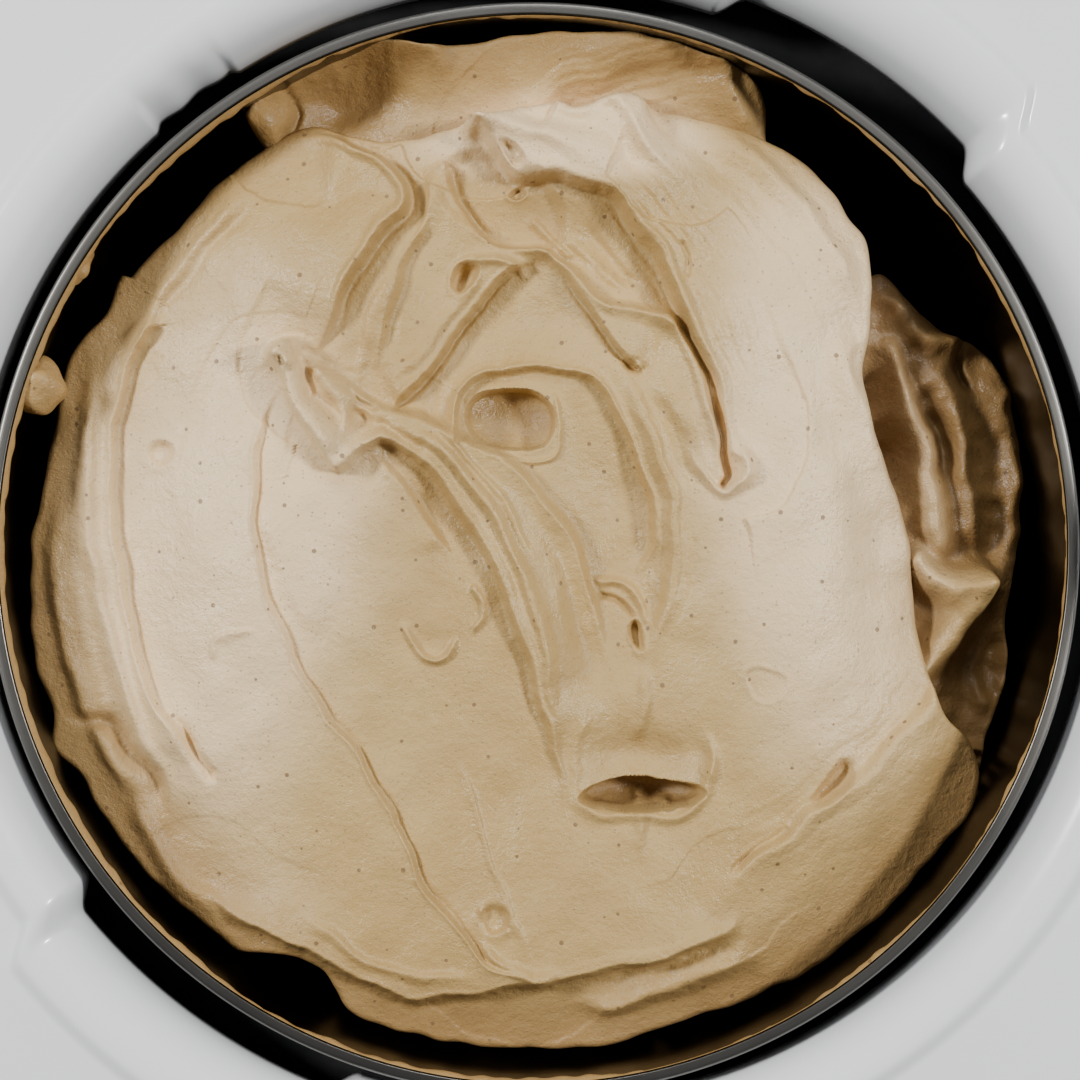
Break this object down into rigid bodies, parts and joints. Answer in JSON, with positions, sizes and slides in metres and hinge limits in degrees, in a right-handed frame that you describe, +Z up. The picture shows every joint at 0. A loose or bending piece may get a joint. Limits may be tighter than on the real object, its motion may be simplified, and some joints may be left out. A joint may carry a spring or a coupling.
{
  "type": "ice cream maker",
  "caption": "Self-cooling ice cream maker: white box housing, round opening with two finger notches, lift-out steel bowl full of churned ice cream, bottom-driven dasher.",
  "frame": {"origin": "on the table under the middle of the housing, at the bottom of the rubber feet", "axes": "+X to the right along the long side, +Y to the rear, +Z up; the controls face -Y"},
  "size_m": [0.424, 0.294, 0.268],
  "materials": {
    "white_gloss": "glossy moulded white",
    "pan_white": "fine satin moulded off-white",
    "grille_white": "satin moulded white",
    "foot_rubber": "matte",
    "screw_steel": "zinc plated",
    "collar_black": "matte black moulding",
    "well_aluminium": "satin drawn",
    "copper_tube": "bare drawn copper",
    "foam": "expanded foam",
    "bowl_steel": "spun stainless, brushed rim and polished inside",
    "ice_cream": "moist frozen cream with fine dark specks",
    "dasher_plastic": "satin food-grade moulding",
    "shaft_steel": "ground",
    "seal_rubber": "matte lip seal",
    "bearing_bronze": "sintered bronze",
    "pulley_nylon": "moulded nylon",
    "belt_rubber": "matte",
    "motor_enamel": "satin enamel",
    "bracket_zinc": "zinc-plated sheet",
    "compressor_black": "semi-gloss black enamel",
    "grommet_rubber": "matte",
    "condenser_fins": "thin bare fins",
    "fan_plastic": "satin black",
    "panel_grey": "fine satin",
    "timer_cream": "moulded",
    "knob_white": "glossy",
    "switch_black": "satin",
    "lamp_green": "translucent lens",
    "board_green": "lacquered laminate",
    "capacitor_grey": "moulded can",
    "inlet_black": "moulded",
    "pin_nickel": "nickel plated",
    "lid_clear": "clear moulded, slightly blue",
    "gasket_silicone": "translucent white silicone"
  },
  "bodies": {
    "housing": {"top_cover": "white_gloss", "side_shell": "white_gloss", "base_pan": "pan_white", "rubber_feet": "foot_rubber", "foot_screws": "screw_steel", "tie_screws": "screw_steel", "well_collar": "collar_black", "cooling_well": "well_aluminium", "well_boss": "well_aluminium", "evaporator_coil": "copper_tube", "foam_jacket": "foam", "foam_base": "foam", "shaft_seal": "seal_rubber", "shaft_bearing": "bearing_bronze", "drive_belt": "belt_rubber", "mixing_motor": "motor_enamel", "drive_bracket": "bracket_zinc", "bracket_legs": "bracket_zinc", "compressor": "compressor_black", "compressor_grommets": "grommet_rubber", "condenser": "condenser_fins", "fan_frame": "fan_plastic", "discharge_pipe": "copper_tube", "suction_pipe": "copper_tube", "liquid_pipe": "copper_tube", "filter_drier": "copper_tube", "side_grille": "grille_white", "rear_grille": "grille_white", "control_panel": "panel_grey", "timer_unit": "timer_cream", "switch_bodies": "switch_black", "indicator_lamp": "lamp_green", "circuit_board": "board_green", "run_capacitor": "capacitor_grey", "mains_inlet": "inlet_black", "inlet_pins": "pin_nickel"},
    "bowl": {"freezer_bowl": "bowl_steel"},
    "mix": {"dasher": "dasher_plastic", "ice_cream": "ice_cream"},
    "drive": {"drive_shaft": "shaft_steel", "driven_pulley": "pulley_nylon"},
    "motor_pulley": {"motor_pulley": "pulley_nylon"},
    "fan": {"fan_rotor": "fan_plastic"},
    "lid": {"lid": "lid_clear", "lid_gasket": "gasket_silicone", "lid_grip": "knob_white", "grip_screw": "screw_steel", "cap_hinge_pin": "shaft_steel"},
    "cap": {"fill_cap": "lid_clear"},
    "knob": {"timer_knob": "knob_white"},
    "mixing_switch": {"mixing_rocker": "switch_black"},
    "cooling_switch": {"cooling_rocker": "switch_black"}
  },
  "joints": [
    {"name": "bowl_lift", "type": "slide", "parent": "housing", "child": "bowl", "axis": [0, 0, 1], "range_m": [0, 0.14]},
    {"name": "dasher_spin", "type": "hinge", "parent": "bowl", "child": "mix", "pos_m": [-0.076, 0, 0.15], "axis": [0, 0, 1], "continuous": true},
    {"name": "shaft_spin", "type": "hinge", "parent": "housing", "child": "drive", "pos_m": [-0.076, 0, 0.09], "axis": [0, 0, 1], "continuous": true},
    {"name": "motor_spin", "type": "hinge", "parent": "housing", "child": "motor_pulley", "pos_m": [-0.17287, -0.09687, 0.08], "axis": [0, 0, 1], "continuous": true},
    {"name": "fan_spin", "type": "hinge", "parent": "housing", "child": "fan", "pos_m": [0.157, 0, 0.09], "axis": [1, 0, 0], "continuous": true},
    {"name": "lid_lift", "type": "slide", "parent": "housing", "child": "lid", "axis": [0, 0, 1], "range_m": [0, 0.12]},
    {"name": "cap_hinge", "type": "hinge", "parent": "lid", "child": "cap", "pos_m": [0.114, -0.031, 0.2533], "axis": [-1, 0, 0], "range_deg": [0, 105]},
    {"name": "timer_turn", "type": "hinge", "parent": "housing", "child": "knob", "pos_m": [0.093, -0.137, 0.136], "axis": [0, 1, 0], "range_deg": [0, 300]},
    {"name": "mixing_press", "type": "hinge", "parent": "housing", "child": "mixing_switch", "pos_m": [0.067, -0.1227, 0.094], "axis": [1, 0, 0], "range_deg": [0, 14]},
    {"name": "cooling_press", "type": "hinge", "parent": "housing", "child": "cooling_switch", "pos_m": [0.119, -0.1227, 0.094], "axis": [1, 0, 0], "range_deg": [0, 14]}
  ],
  "couplings": [
    {"joint": "shaft_spin", "follows": "dasher_spin", "ratio": 1},
    {"joint": "motor_spin", "follows": "dasher_spin", "ratio": 5.2}
  ]
}
